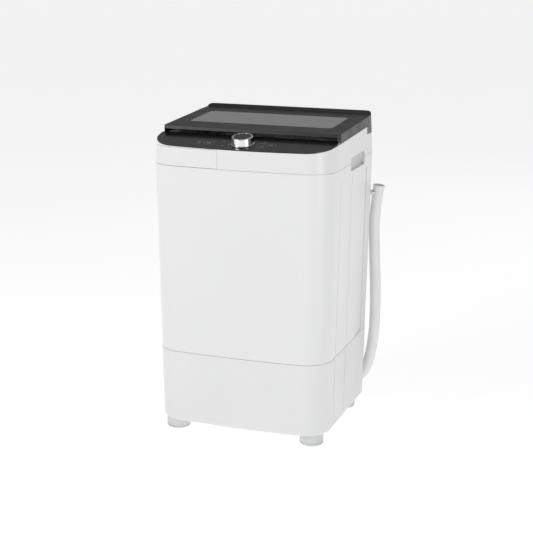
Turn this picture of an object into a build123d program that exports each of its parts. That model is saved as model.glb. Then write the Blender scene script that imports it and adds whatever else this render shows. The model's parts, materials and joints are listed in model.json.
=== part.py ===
from build123d import *
import math
import os

# Top load washing machine with a bowed front, a smoked lid window, one dial and
# a drain hose clipped behind. Millimetres. +Z is up and the front looks to -Y.
# The origin is on the floor, under the middle of the machine without its hose.

# Cabinet. Its walls lean inwards by DRAFT per millimetre below SEAM_Z, towards the
# floor, and by CROWN_LEAN above it, towards the top.
WIDTH = 480.0
Y_FRONT = -223.0
Y_REAR = 199.0
BOW_R = 2292.0
R_FRONT = 69.0
R_REAR = 24.0
DRAFT = 10.5 / 680.0
CROWN_LEAN = 0.045
WALL = 4.0
FOOT_H = 32.0
PLINTH_Z = 223.5
SEAM_Z = 712.0
SEAM_GAP = 0.35
LIP_GAP = 0.3
LIP_T = 2.0

# Top cover, console and lid.
COVER_WALL = 3.2
RIM_FRONT_Z = 760.2
PANEL_SLOPE = 0.205
PANEL_T = 2.4
PANEL_REAR_Y = -123.0
HOLLOW_Y = -150.0
RIM_SIDE_Z = 775.6
RIM_SIDE_SLOPE = 0.038
RIM_SIDE_Y = -105.0
RIM_BREAK_Y = -157.63
NOTCH_Y = 130.0
NOTCH_Z = 765.0
DECK_Z = 753.0
DECK_T = 3.0
LID_FRONT_Y = -123.3
LID_REAR_Y = 175.0
LID_FRONT_Z = 798.6
LID_SLOPE = 0.0446
LID_T = 4.0
LID_HALF = 236.5
LID_UNDER_Z = 791.2
HINGE_Y = 163.0
HINGE_Z = 800.0
HINGE_HALF = 205.0
LID_SWEEP_R = 17.9
REAR_TOP_Z = 820.0
DECK_HALF = 236.5
DECK_CORNER_R = 13.0
REST_Y = -70.0
REST_Z = 788.0
WINDOW_W = 388.0
WINDOW_D = 156.0
WINDOW_X = -2.0
WINDOW_Y = 33.5

# Wash unit. Everything turns about a vertical axis at AXIS_Y.
AXIS_Y = -12.0
TUB_R = 186.0
TUB_WALL = 3.5
TUB_FLOOR_Z = 211.0
TUB_TOP_Z = 655.0
BASKET_R = 170.0
BASKET_WALL = 1.0
BASKET_Z = 240.0
BASKET_TOP_Z = 622.0
SHAFT_R = 8.0
SPIN_R = 14.0
RUN_GAP = 0.05
GAP = 0.3
ROD_X = 196.0
ROD_FRONT_Y = -162.0
ROD_REAR_Y = 138.0
ROD_LOW_Z = 258.0
SPRING_LOW_Z = 262.0
SPRING_TOP_Z = 306.0
PULLEY_Z = 92.0
PULLEY_H = 10.0
MOTOR_X = -105.0
MOTOR_Y = -75.0
CLUTCH_PULLEY_R = 58.0
MOTOR_PULLEY_R = 20.0

# Controls, on the sloping console.
KNOB_X = 3.0
KNOB_Y = -178.5
KNOB_H = 20.0
KNOB_FLANGE_R = 30.3
KNOB_LOW_R = 28.6
KNOB_TOP_R = 26.4
CAP_R = 21.8
POWER_X = 50.0
POWER_Y = -171.0
POWER_R = 6.0
START_X = 77.0
START_Y = -181.0
START_R = 10.0
BUTTON_TRAVEL = 1.2
DISPLAY_X = -93.0
DISPLAY_Y = -184.0

# Drawer behind the left part of the front band.
DRAWER_X = -49.5
DRAWER_SIDE_Y = -142.0
DRAWER_GAP = 0.6
TRAY = (-205.0, -62.0, -131.0, 717.0, 752.0)

# Feet and drain.
FOOT_X = 186.0
FOOT_FRONT_Y = -160.0
FOOT_REAR_Y = 136.0
FOOT_R = 31.0
VALVE_X = 150.0
VALVE_Y = 60.0
BELLOWS_LOW_Z = 76.0
BELLOWS_TOP_Z = 150.0
HOSE_R = 15.0
HOSE_Y = 212.0
ELBOW_X = 134.0
ELBOW_Z = 52.0
HOSE_XZ = [(182, 46), (215, 68), (234, 105), (245, 159), (251, 229),
           (250, 330), (244, 440), (241, 530), (249, 590)]
CUFF_L = 27.0
CUFF_R = 15.8
CUFF_NECK_R = 15.4
CUFF_NECK_L = 14.0
INLET_X = -150.0
INLET_Z = 732.0
INLET_R = 13.2
INLET_TIP_Y = 223.0


def box(x0, x1, y0, y1, z0, z1):
    centre = Pos((x0 + x1) / 2, (y0 + y1) / 2, (z0 + z1) / 2)
    return centre * Box(abs(x1 - x0), abs(y1 - y0), abs(z1 - z0))


def cyl(x, y, z0, z1, r):
    return Pos(x, y, (z0 + z1) / 2) * Cylinder(r, z1 - z0)


def ring(x, y, z0, z1, r_out, r_in):
    return cyl(x, y, z0, z1, r_out) - cyl(x, y, z0 - 1, z1 + 1, r_in)


def x_cyl(x0, x1, y, z, r):
    return Pos((x0 + x1) / 2, y, z) * Rot(0, 90, 0) * Cylinder(r, x1 - x0)


def y_cyl(x, y0, y1, z, r):
    return Pos(x, (y0 + y1) / 2, z) * Rot(90, 0, 0) * Cylinder(r, y1 - y0)


def side_prism(points, x0, x1):
    """Solid with a (y, z) profile, running from x0 to x1."""
    profile = Plane.YZ * make_face(Polyline(*points, close=True))
    return Pos(x0, 0, 0) * extrude(profile, amount=x1 - x0)


def mirrored(shape):
    return shape + mirror(shape, about=Plane.YZ)


def outline(z, shift, inset):
    """Plan section at height z: its walls move by shift, its corner radii by inset."""
    half = WIDTH / 2 - shift
    front = Y_FRONT + shift
    rear = Y_REAR - shift
    r_front = R_FRONT - inset
    r_rear = R_REAR - inset
    bow = BOW_R - inset
    cx = half - r_front
    cy = front + bow - math.sqrt((bow - r_front) ** 2 - cx ** 2)
    lean = math.atan2(cx, front + bow - cy)
    tx = bow * math.sin(lean)
    ty = front + bow - bow * math.cos(lean)
    middle = (lean + math.pi / 2) / 2
    mx = cx + r_front * math.sin(middle)
    my = cy - r_front * math.cos(middle)
    nx = half - r_rear * (1 - math.sqrt(0.5))
    ny = rear - r_rear * (1 - math.sqrt(0.5))
    edges = [
        ThreePointArc((-tx, ty), (0, front), (tx, ty)),
        ThreePointArc((tx, ty), (mx, my), (half, cy)),
        Line((half, cy), (half, rear - r_rear)),
        ThreePointArc((half, rear - r_rear), (nx, ny), (half - r_rear, rear)),
        Line((half - r_rear, rear), (r_rear - half, rear)),
        ThreePointArc((r_rear - half, rear), (-nx, ny), (-half, rear - r_rear)),
        Line((-half, rear - r_rear), (-half, cy)),
        ThreePointArc((-half, cy), (-mx, my), (-tx, ty)),
    ]
    return Pos(0, 0, z) * Face(Wire(edges))


def body(z0, z1, inset=0.0):
    """Solid cabinet below the top seam, moved inwards by inset."""
    faces = [outline(z, DRAFT * (SEAM_Z - z) + inset, inset) for z in (z0, z1)]
    return loft(faces, ruled=True)


def crown(z0, z1, inset=0.0):
    """Solid block above the top seam, moved inwards by inset."""
    faces = [outline(z, CROWN_LEAN * (z - SEAM_Z) + inset, inset) for z in (z0, z1)]
    return loft(faces, ruled=True)


def shell(z0, z1, inset, wall):
    return body(z0, z1, inset) - body(z0 - 1, z1 + 1, inset + wall)


def panel_z(y):
    return RIM_FRONT_Z + PANEL_T + PANEL_SLOPE * (y - Y_FRONT)


def rim_z(y):
    """Height of the white top edge."""
    if y < RIM_BREAK_Y:
        return panel_z(y) - PANEL_T
    return RIM_SIDE_Z + RIM_SIDE_SLOPE * (y - RIM_SIDE_Y)


def lid_z(y):
    return LID_FRONT_Z + LID_SLOPE * (y - LID_FRONT_Y)


def on_panel(x, y):
    """Place on the console's top face, with local +Z along its normal."""
    tilt = math.degrees(math.atan(PANEL_SLOPE))
    return Pos(x, y, panel_z(y)) * Rot(tilt, 0, 0)


def on_lid(x, y):
    tilt = math.degrees(math.atan(LID_SLOPE))
    return Pos(x, y, lid_z(y)) * Rot(tilt, 0, 0)


def rod_places():
    return [(x, y) for y in (ROD_FRONT_Y, ROD_REAR_Y) for x in (-ROD_X, ROD_X)]


def cabinet_shell():
    low = PLINTH_Z + SEAM_GAP
    high = SEAM_Z - SEAM_GAP
    part = shell(low, high, 0, WALL)
    for y in (-116.0, -15.0):
        part -= mirrored(side_flute(y, 8.0, 0.7))
    part -= mirrored(side_recess())
    part -= grip_opening()
    part -= box(-150, 150, 180, 210, 300, 640)
    return part


def side_flute(y, width, depth):
    """Upright groove in the right side; the cutter follows the wall's lean."""
    cutter = box(200, 260, y - width / 2, y + width / 2, PLINTH_Z + 4, 682)
    return cutter - body(PLINTH_Z - 5, SEAM_Z, depth)


def side_recess():
    """Wide shallow panel near the rear of the side, ending in a deeper groove."""
    panel = box(200, 260, 69, 129, PLINTH_Z + 4, 682) - body(PLINTH_Z - 5, SEAM_Z, 1.8)
    groove = box(200, 260, 126, 131, PLINTH_Z + 4, 682) - body(PLINTH_Z - 5, SEAM_Z, 3.0)
    return panel + groove


def grip_opening():
    """Rounded hole through both sides for the fingers, across the top seam."""
    hole = box(200, 260, -28, 103, 692, 728)
    hole = fillet(hole.edges().filter_by(Axis.X), 9)
    return mirrored(hole)


def base_plinth():
    part = body(FOOT_H, PLINTH_Z - SEAM_GAP, -0.6)
    low_edges = part.edges().group_by(Axis.Z)[0]
    part = fillet(low_edges, 5)
    part -= body(FOOT_H + 4, PLINTH_Z + 5, 3.6)
    part -= box(-125, 125, -130, 110, FOOT_H - 5, FOOT_H + 10)
    lip = body(PLINTH_Z - 12, PLINTH_Z + 12, WALL + LIP_GAP)
    lip -= body(PLINTH_Z - 13, PLINTH_Z + 13, WALL + LIP_GAP + LIP_T)
    ledge = body(PLINTH_Z - 12, PLINTH_Z - 9, 3.0) - body(PLINTH_Z - 13, PLINTH_Z - 8, 6.3)
    part = part + lip + ledge
    for y in (-117.0, -20.0):
        cutter = box(200, 260, y - 2, y + 2, FOOT_H + 12, PLINTH_Z - 6)
        part -= mirrored(cutter - body(FOOT_H, PLINTH_Z, 0.6))
    part -= y_cyl(ELBOW_X, 170, 205, ELBOW_Z, HOSE_R + 0.5)
    part -= y_cyl(-90, 170, 205, 80, 6.0)
    part -= cyl(FOOT_X, FOOT_FRONT_Y, FOOT_H - 1, FOOT_H + 6, 5.3)
    return part


def top_cover():
    low = SEAM_Z + SEAM_GAP
    band = crown(low, 800) - crown(low - 1, 801, COVER_WALL)
    rim = [(-240, 700), (-240, rim_z(-240)), (RIM_BREAK_Y, rim_z(RIM_BREAK_Y)),
           (NOTCH_Y, rim_z(NOTCH_Y)), (NOTCH_Y, NOTCH_Z), (240, NOTCH_Z), (240, 700)]
    band &= side_prism(rim, -260, 260)
    inside = crown(700, 800, COVER_WALL - 0.4)
    deck = box(-250, 250, PANEL_REAR_Y - 3, 250, DECK_Z - DECK_T, DECK_Z) & inside
    bulkhead = box(-250, 250, PANEL_REAR_Y - 3, PANEL_REAR_Y, low + 2, 774.5) & inside
    throat_place = Pos(0, 15, 0)
    skirt = throat_place * extrude(RectangleRounded(306, 242, 93), amount=DECK_Z - 706)
    skirt = Pos(0, 0, 706) * skirt
    hole = throat_place * extrude(RectangleRounded(300, 236, 90), amount=80)
    hole = Pos(0, 0, 700) * hole
    lip = body(700, low + 3, WALL + LIP_GAP) - body(699, low + 4, WALL + LIP_GAP + LIP_T)
    ledge = body(low, low + 3, 2.0) - body(low - 1, low + 4, WALL + LIP_GAP + LIP_T)
    rests = mirrored(cyl(222, REST_Y, DECK_Z - 1, REST_Z, 9))
    part = band + deck + bulkhead + skirt + lip + ledge + rests - hole
    part -= grip_opening()
    part -= mirrored(box(200, 236.2, -34, 109, 699, 733))
    part -= drawer_space(0) & box(-260, 0, -260, DRAWER_SIDE_Y, 712.9, 765)
    part -= box(-211, -56, -240, PANEL_REAR_Y - 3, 712.9, 760)
    part -= y_cyl(-185, -140, -100, 735, 8.2)
    part -= y_cyl(INLET_X, 185, 215, INLET_Z, 17)
    return part


def drawer_space(gap):
    """Block of the front band that belongs to the drawer, less a gap all round."""
    low = SEAM_Z + SEAM_GAP + 0.4
    high = RIM_FRONT_Z - 0.4
    return box(-260, DRAWER_X - gap, -260, DRAWER_SIDE_Y - gap, low + gap, high - gap)


def drawer_front():
    band = crown(700, 780) - crown(699, 781, COVER_WALL)
    return band & drawer_space(DRAWER_GAP)


def drawer_tray():
    x0, x1, y1, z0, z1 = TRAY
    outer = box(x0, x1, -240, y1, z0, z1) & crown(700, 780, COVER_WALL + 0.1)
    inner = box(x0 + 2, x1 - 2, -240, y1 - 2, z0 + 2, z1 + 5) & crown(700, 780, COVER_WALL + 2.5)
    divider = box(-118, -116, -240, y1 - 1, z0 + 1, z1 - 6) & crown(700, 780, COVER_WALL + 1)
    return outer - inner + divider


def drawer_housing():
    x0, x1, y1, z0, z1 = TRAY
    outer = box(x0 - 3.5, x1 + 3.5, -240, y1 + 3, z0 - 3, z1 + 3.5)
    inner = box(x0 - 1.5, x1 + 1.5, -250, y1 + 1, z0 - 1, z1 + 1.5)
    return (outer - inner) & crown(700, 780, COVER_WALL + 5)


def control_panel():
    wedge = [(-240, panel_z(-240)), (PANEL_REAR_Y, panel_z(PANEL_REAR_Y)),
             (PANEL_REAR_Y, rim_z(PANEL_REAR_Y) + 0.1), (RIM_BREAK_Y, rim_z(RIM_BREAK_Y) + 0.1),
             (-240, rim_z(-240) + 0.1)]
    part = crown(740, 800, 0.1) & side_prism(wedge, -260, 260)
    hollow = [(HOLLOW_Y, panel_z(HOLLOW_Y) - PANEL_T), (PANEL_REAR_Y - 3, panel_z(PANEL_REAR_Y - 3) - PANEL_T),
              (PANEL_REAR_Y - 3, 740), (HOLLOW_Y, 740)]
    part -= crown(740, 800, COVER_WALL) & side_prism(hollow, -260, 260)
    part -= on_panel(KNOB_X, KNOB_Y) * Cylinder(5.0, 12)
    part -= on_panel(POWER_X, POWER_Y) * Cylinder(POWER_R + GAP, 12)
    part -= on_panel(START_X, START_Y) * Cylinder(START_R + GAP, 12)
    part -= on_panel(DISPLAY_X, DISPLAY_Y) * Pos(0, 0, -0.6) * Box(52.2, 16.2, 1.4)
    return part


def display_window():
    return on_panel(DISPLAY_X, DISPLAY_Y) * Pos(0, 0, -0.6) * Box(52, 16, 1.4)


def encoder():
    place = on_panel(KNOB_X, KNOB_Y)
    case = place * Pos(0, 0, -9.4) * Box(28, 24, 14)
    bush = place * Pos(0, 0, -1.4) * Cylinder(4.9, 2.2)
    return case + bush - place * Cylinder(3.0 + RUN_GAP, 60)


def knob_shaft():
    return on_panel(KNOB_X, KNOB_Y) * Pos(0, 0, 2) * Cylinder(3.0, 24)


def knob_body():
    flange = Pos(0, 0, 1.9) * Cylinder(KNOB_FLANGE_R, 2.6)
    flange = fillet(flange.edges().filter_by(GeomType.CIRCLE), 0.8)
    grip = Pos(0, 0, KNOB_H / 2 + 1.6) * Cone(KNOB_LOW_R, KNOB_TOP_R, KNOB_H - 3.2)
    grip = fillet(grip.edges().group_by(Axis.Z)[-1], 1.4)
    part = flange + grip
    part -= Pos(0, 0, KNOB_H) * Cylinder(CAP_R + 0.1, 4)
    part -= Pos(0, 0, 7) * Cylinder(3.0, 14.2)
    part -= Pos(0, 0, 7.25) * (Cylinder(23.5, 14.5) - Cylinder(7.0, 16))
    return on_panel(KNOB_X, KNOB_Y) * part


def knob_cap():
    cap = Pos(0, 0, KNOB_H - 1.3) * Cylinder(CAP_R, 1.4)
    return on_panel(KNOB_X, KNOB_Y) * cap


def push_button(x, y, r):
    """Button with a flange that stops against the console's under face."""
    under = -PANEL_T - GAP
    cap = Pos(0, 0, (0.8 + under) / 2) * Cylinder(r, 0.8 - under)
    cap = fillet(cap.edges().group_by(Axis.Z)[-1], 0.6)
    flange = Pos(0, 0, under - 0.6) * Cylinder(r + 1.6, 1.4)
    return on_panel(x, y) * (cap + flange)


def power_button():
    return push_button(POWER_X, POWER_Y, POWER_R)


def start_button():
    return push_button(START_X, START_Y, START_R)


def switch_board():
    """Small board under the two buttons, with one switch for each."""
    switch_top = -PANEL_T - GAP - 1.4 - BUTTON_TRAVEL - GAP
    x, y = (POWER_X + START_X) / 2, (POWER_Y + START_Y) / 2
    part = on_panel(x, y) * Pos(0, 0, switch_top - 3.3) * Box(72, 30, 1.6)
    for x_at, y_at in ((POWER_X, POWER_Y), (START_X, START_Y)):
        part += on_panel(x_at, y_at) * Pos(0, 0, switch_top - 1.5) * Box(6, 6, 3.0)
    post_h = 2.5 - switch_top - PANEL_T + 0.02
    for side in (-34, 34):
        part += on_panel(x, y) * Pos(side, 0, -PANEL_T - post_h / 2) * Box(3, 10, post_h)
    return part


def main_board():
    """Potted control board in its tray, on the console's rear wall."""
    y1 = PANEL_REAR_Y - 3
    tray = box(60, 200, -196, y1, 718, 742) - box(62, 198, -194, y1 - 2, 721, 745)
    board = box(62, 198, -194, y1 - 2, 730, 731.6)
    parts = tray + board
    for x, y, w, h in ((80, -175, 18, 16), (110, -150, 22, 12), (140, -180, 14, 20), (172, -152, 26, 15)):
        parts += box(x - w / 2, x + w / 2, y - 8, y + 8, 731, 731.6 + h)
    return parts


def rear_deck():
    low = NOTCH_Z + 0.3
    face_y = LID_REAR_Y + 3
    bar = [(face_y, low), (240, low), (240, REAR_TOP_Z), (185, REAR_TOP_Z), (face_y, 812)]
    shoulder = [(149.5, low), (180, low), (180, lid_z(180)), (149.5, lid_z(149.5))]
    shelf = [(149.5, low), (180, low), (180, 779), (149.5, 779)]
    strip = [(NOTCH_Y + 0.3, low), (150, low), (150, rim_z(150)), (NOTCH_Y + 0.3, rim_z(NOTCH_Y))]
    solid = side_prism(bar, -260, 260) + side_prism(shelf, -HINGE_HALF, HINGE_HALF)
    solid += mirrored(side_prism(shoulder, HINGE_HALF, 260))
    solid &= crown(740, 840) & deck_limit(0)
    hollow = side_prism([(face_y + 3, 750), (240, 750), (240, REAR_TOP_Z - 3), (187, REAR_TOP_Z - 3),
                         (face_y + 3, 810)], -260, 260)
    hollow += side_prism([(152.5, 750), (183, 750), (183, 776), (152.5, 776)], -HINGE_HALF - 1, HINGE_HALF + 1)
    inner_top = [(152.5, 750), (183, 750), (183, lid_z(183) - 3), (152.5, lid_z(152.5) - 3)]
    hollow += mirrored(side_prism(inner_top, HINGE_HALF + 3, 260))
    hollow &= crown(740, 840, 3) & deck_limit(3)
    part = solid - hollow
    edge_strip = (crown(740, 840) - crown(739, 841, 3)) & side_prism(strip, -260, 260)
    front_wall = box(-HINGE_HALF - 20, HINGE_HALF + 20, 149.5, 152.5, DECK_Z + 0.2, low + 3)
    boss = x_cyl(HINGE_HALF + 2, HINGE_HALF + 13, HINGE_Y, HINGE_Z, 7.5)
    part = part + edge_strip + front_wall + mirrored(boss)
    part -= mirrored(x_cyl(HINGE_HALF - 5, HINGE_HALF + 11, HINGE_Y, HINGE_Z, 3.0))
    return part


def deck_limit(inset):
    """Front view of the rear deck, with its two top corners rounded."""
    half = DECK_HALF - inset
    block = RectangleRounded(2 * half, 200, DECK_CORNER_R - inset)
    return Pos(0, 260, REAR_TOP_Z - inset - 100) * Rot(90, 0, 0) * extrude(block, amount=520)


def hinge_pins():
    return mirrored(x_cyl(HINGE_HALF - 14, HINGE_HALF + 11, HINGE_Y, HINGE_Z, 3.0))


def lid_frame():
    front = LID_FRONT_Y
    plate = [(front, LID_UNDER_Z), (front + 2.5, lid_z(front + 2.5)), (LID_REAR_Y - 4, lid_z(LID_REAR_Y - 4)),
             (LID_REAR_Y, lid_z(LID_REAR_Y) - LID_T), (front + 12, lid_z(front + 12) - LID_T),
             (front + 8, LID_UNDER_Z)]
    part = side_prism(plate, -LID_HALF, LID_HALF)
    bezel = on_lid(WINDOW_X, WINDOW_Y) * Pos(0, 0, -3.0) * Box(WINDOW_W + 20, WINDOW_D + 20, 4.0)
    skirt = [(front + 5, lid_z(front + 5) - 2), (148.5, lid_z(148.5) - 2),
             (148.5, rim_z(148.5) + 1.2), (front + 5, rim_z(front + 5) + 1.2)]
    part = part + bezel + mirrored(side_prism(skirt, LID_HALF - 3, LID_HALF))
    plan = Pos(0, (front + 200) / 2, 0) * Rectangle(2 * LID_HALF, 200 - front)
    plan = fillet(plan.vertices().sort_by(Axis.Y)[:2], 12)
    part &= Pos(0, 0, 740) * extrude(plan, amount=100)
    part -= mirrored(box(HINGE_HALF - 0.8, 260, 148.8, 200, 740, 840))
    part -= mirrored(x_cyl(HINGE_HALF - 0.8, 260, HINGE_Y, HINGE_Z, LID_SWEEP_R))
    barrel = x_cyl(HINGE_HALF - 15, HINGE_HALF - 1.2, HINGE_Y, HINGE_Z, 7.5)
    web = box(HINGE_HALF - 15, HINGE_HALF - 1.2, HINGE_Y - 6, HINGE_Y + 6, HINGE_Z, HINGE_Z + 9)
    part += mirrored(barrel + web)
    part -= mirrored(x_cyl(HINGE_HALF - 14.5, HINGE_HALF, HINGE_Y, HINGE_Z, 3.0 + RUN_GAP))
    place = on_lid(WINDOW_X, WINDOW_Y)
    part -= place * Pos(0, 0, -2.6) * extrude(RectangleRounded(WINDOW_W, WINDOW_D, 12), amount=10)
    part -= place * Pos(0, 0, -20) * extrude(RectangleRounded(WINDOW_W - 16, WINDOW_D - 16, 8), amount=40)
    return part


def lid_window():
    pane = extrude(RectangleRounded(WINDOW_W - 0.4, WINDOW_D - 0.4, 11.8), amount=2.5)
    return on_lid(WINDOW_X, WINDOW_Y) * Pos(0, 0, -2.6) * pane


def lid_buffers():
    """Two rubber stops under the lid, above the rest posts of the top cover."""
    under = [(-200, REST_Z + GAP), (200, REST_Z + GAP), (200, lid_z(200) - LID_T), (-200, lid_z(-200) - LID_T)]
    space = side_prism(under, -260, 260)
    pads = [cyl(x, REST_Y, REST_Z - 5, REST_Z + 20, 6) & space for x in (-222, 222)]
    return Compound(children=[pad.solid() for pad in pads])


def grip_cups():
    """Finger scoops: deepest under their top edge, running out at the bottom."""
    outer = grip_wedge([(235.4, 690.5), (228, 690.5), (217, 731), (235.4, 731)], -32, 107)
    inner = grip_wedge([(242, 692.5), (231.5, 692.5), (221, 727.5), (242, 727.5)], -28.5, 103.5)
    return mirrored(outer - inner)


def grip_wedge(points, y0, y1):
    """Solid with an (x, z) profile, running from y0 to y1."""
    profile = Plane.XZ * make_face(Polyline(*points, close=True))
    return Pos(0, y1, 0) * extrude(profile, amount=y1 - y0)


def hanger_brackets():
    """One corner bracket above each suspension rod, joined to the cabinet walls."""
    solids = []
    for x, y in rod_places():
        sx = math.copysign(1, x)
        sy = math.copysign(1, y)
        arm = box(x - 12 * sx, x + 60 * sx, y - 12 * sy, y + 80 * sy, 672, 680)
        arm = arm & body(660, 700, WALL + 0.02)
        arm -= cyl(x, y, 660, 700, 5.5)
        solids.append(arm.solid())
    return Compound(children=solids)


def suspension_rods():
    solids = []
    for x, y in rod_places():
        rod = cyl(x, y, ROD_LOW_Z, 684, 4.0) + cyl(x, y, ROD_LOW_Z, SPRING_LOW_Z, 14.0)
        rod += Pos(x, y, 686) * Sphere(8.0)
        rod -= cyl(x, y, 670, 680, 20) - cyl(x, y, 669, 681, 4.0)
        solids.append(rod.solid())
    return Compound(children=solids)


def suspension_springs():
    height = SPRING_TOP_Z - SPRING_LOW_Z
    wire = 1.5
    rise = height - 2 * wire - GAP
    path = Helix(pitch=rise / 5, height=rise, radius=9.5)
    start = Plane(origin=path @ 0, z_dir=path % 0)
    coil = sweep(start * Circle(wire), path=path, is_frenet=True)
    solids = [(Pos(x, y, SPRING_LOW_Z + wire) * coil).solid() for x, y in rod_places()]
    return Compound(children=solids)


def rear_cover():
    """Sheet plate over the service opening, following the rear wall's lean."""
    plate = (body(280, 660, -1.2) - body(279, 661, 0)) & box(-165, 165, 150, 240, 286, 654)
    for z in (360, 470, 580):
        rib = (body(280, 660, -2.4) - body(279, 661, -1.0)) & box(-120, 120, 150, 240, z - 12, z + 12)
        plate += rib
    for x, z in screw_places():
        plate -= y_cyl(x, 150, 240, z, 2.6)
    return plate


def screw_places():
    return [(x, z) for x in (-158, 158) for z in (292, 410, 530, 648)]


def rear_cover_screws():
    solids = []
    for x, z in screw_places():
        wall_y = Y_REAR - DRAFT * (SEAM_Z - z)
        head = y_cyl(x, wall_y + 1.35, wall_y + 3.5, z, 4.5)
        shank = y_cyl(x, wall_y + 0.06, wall_y + 2.0, z, 2.1)
        solids.append((head + shank).solid())
    return Compound(children=solids)


def foot(x, y):
    part = cyl(x, y, 0, FOOT_H, FOOT_R)
    part = fillet(part.edges().group_by(Axis.Z)[0], 5)
    part -= ring(x, y, 6, 9, FOOT_R + 5, FOOT_R - 1.2)
    return part


def fixed_feet():
    places = [(-FOOT_X, FOOT_FRONT_Y), (-FOOT_X, FOOT_REAR_Y), (FOOT_X, FOOT_REAR_Y)]
    return Compound(children=[foot(x, y).solid() for x, y in places])


def levelling_foot():
    """Right front foot, on a threaded stem that screws into the plinth."""
    pad = foot(FOOT_X, FOOT_FRONT_Y) & box(100, 260, -260, 0, -1, FOOT_H - GAP)
    return pad + cyl(FOOT_X, FOOT_FRONT_Y, FOOT_H - 2, FOOT_H + 18, 5.0)


def outer_tub():
    part = ring(0, AXIS_Y, TUB_FLOOR_Z + 2, TUB_TOP_Z, TUB_R, TUB_R - TUB_WALL)
    part += ring(0, AXIS_Y, TUB_FLOOR_Z, TUB_FLOOR_Z + 4, TUB_R, 24.0)
    for z in (250, 380, 510, 640):
        part += ring(0, AXIS_Y, z, z + 4, TUB_R + 4, TUB_R - 1)
    for x, y in rod_places():
        angle = math.degrees(math.atan2(y - AXIS_Y, x))
        reach = math.hypot(x, y - AXIS_Y)
        ear = box(TUB_R - 2, reach + 15, -18, 18, SPRING_TOP_Z, SPRING_TOP_Z + 8)
        rib = box(TUB_R - 2, reach - 10, -3, 3, SPRING_TOP_Z + 6, SPRING_TOP_Z + 50)
        part += Pos(0, AXIS_Y, 0) * Rot(0, 0, angle) * (ear + rib)
        part -= cyl(x, y, SPRING_TOP_Z - 5, SPRING_TOP_Z + 60, 6.0)
    return part


def tub_cover_ring():
    part = ring(0, AXIS_Y, TUB_TOP_Z, TUB_TOP_Z + 20, TUB_R + 3, TUB_R - TUB_WALL)
    part += ring(0, AXIS_Y, TUB_TOP_Z + 17, TUB_TOP_Z + 21, TUB_R + 3, 152)
    part += ring(0, AXIS_Y, TUB_TOP_Z + 8, TUB_TOP_Z + 19, 155, 152)
    return part


def tub_base_plate():
    part = cyl(0, AXIS_Y, 203, TUB_FLOOR_Z, 150) - cyl(0, AXIS_Y, 200, 212, 50)
    part -= cyl(VALVE_X, VALVE_Y, 200, 212, 34)
    return part


def clutch_housing():
    part = cyl(0, AXIS_Y, 118, TUB_FLOOR_Z, 48)
    part -= cyl(0, AXIS_Y, 200, TUB_FLOOR_Z + 1, 24)
    part -= cyl(0, AXIS_Y, 184, 201, 26)
    part -= cyl(0, AXIS_Y, 140, 185, 20)
    part -= cyl(0, AXIS_Y, 138, 154, 26)
    part -= cyl(0, AXIS_Y, 110, 139, SHAFT_R + 1)
    return part


def spin_bearings():
    rings = [ring(0, AXIS_Y, z, z + 14, 26, SPIN_R + RUN_GAP) for z in (139, 186)]
    return Compound(children=[r.solid() for r in rings])


def shaft_seal():
    return ring(0, AXIS_Y, 203, TUB_FLOOR_Z + 4, 24, SPIN_R + RUN_GAP)


def drive_motor():
    part = cyl(MOTOR_X, MOTOR_Y, 112, 190, 55)
    part = fillet(part.edges().filter_by(GeomType.CIRCLE), 6)
    part += ring(MOTOR_X, MOTOR_Y, 190, 203, 50, 20)
    return part - cyl(MOTOR_X, MOTOR_Y, 105, 215, 6 + RUN_GAP)


def pulley(x, y, r, bore):
    part = cyl(x, y, PULLEY_Z, PULLEY_Z + PULLEY_H, r + 2)
    part -= ring(x, y, PULLEY_Z + 1.5, PULLEY_Z + PULLEY_H - 1.5, r + 9, r - 4)
    return part - cyl(x, y, PULLEY_Z - 1, PULLEY_Z + PULLEY_H + 20, bore)


def clutch_pulley():
    part = pulley(0, AXIS_Y, CLUTCH_PULLEY_R, SHAFT_R + RUN_GAP)
    for turn in range(6):
        hole = Pos(0, AXIS_Y, 0) * Rot(0, 0, 60 * turn) * cyl(34, 0, PULLEY_Z - 1, PULLEY_Z + 12, 9)
        part -= hole
    return part


def motor_pulley():
    part = pulley(MOTOR_X, MOTOR_Y, MOTOR_PULLEY_R, 5.0)
    return part + cyl(MOTOR_X, MOTOR_Y, PULLEY_Z, 185, 6.0)


def drive_belt():
    def loop(extra):
        big = Pos(0, AXIS_Y) * Circle(CLUTCH_PULLEY_R - 4 + extra)
        small = Pos(MOTOR_X, MOTOR_Y) * Circle(MOTOR_PULLEY_R - 4 + extra)
        return make_hull(big.edges() + small.edges())
    face = loop(6.0) - loop(GAP)
    return Pos(0, 0, PULLEY_Z + 2) * extrude(face, amount=PULLEY_H - 4)


def drain_valve():
    part = cyl(VALVE_X, VALVE_Y, BELLOWS_TOP_Z, TUB_FLOOR_Z, 26)
    part += x_cyl(VALVE_X - 60, VALVE_X - 10, VALVE_Y, 172, 15)
    part -= x_cyl(VALVE_X - 70, VALVE_X - 30, VALVE_Y, 172, 8 + GAP)
    return part - cyl(VALVE_X, VALVE_Y, BELLOWS_TOP_Z - 1, 168, 14)


def drain_plunger():
    """Rod that the drain actuator pulls to open the valve."""
    return x_cyl(VALVE_X - 94, VALVE_X - 46, VALVE_Y, 172, 8.0)


def drain_actuator():
    body_block = box(40, 68, VALVE_Y - 22, VALVE_Y + 22, 158, 203)
    return body_block - x_cyl(38, 100, VALVE_Y, 172, 8 + GAP + 0.2)


def drain_bellows():
    """Soft sleeve between the moving valve and the fixed drain pipe."""
    part = ring(VALVE_X, VALVE_Y, BELLOWS_LOW_Z, BELLOWS_TOP_Z - GAP, 16, 13)
    folds = 7
    step = (BELLOWS_TOP_Z - BELLOWS_LOW_Z) / folds
    for index in range(folds):
        z = BELLOWS_LOW_Z + step * (index + 0.5)
        part += ring(VALVE_X, VALVE_Y, z - 2, z + 2, 19.5, 15)
    return part


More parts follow.
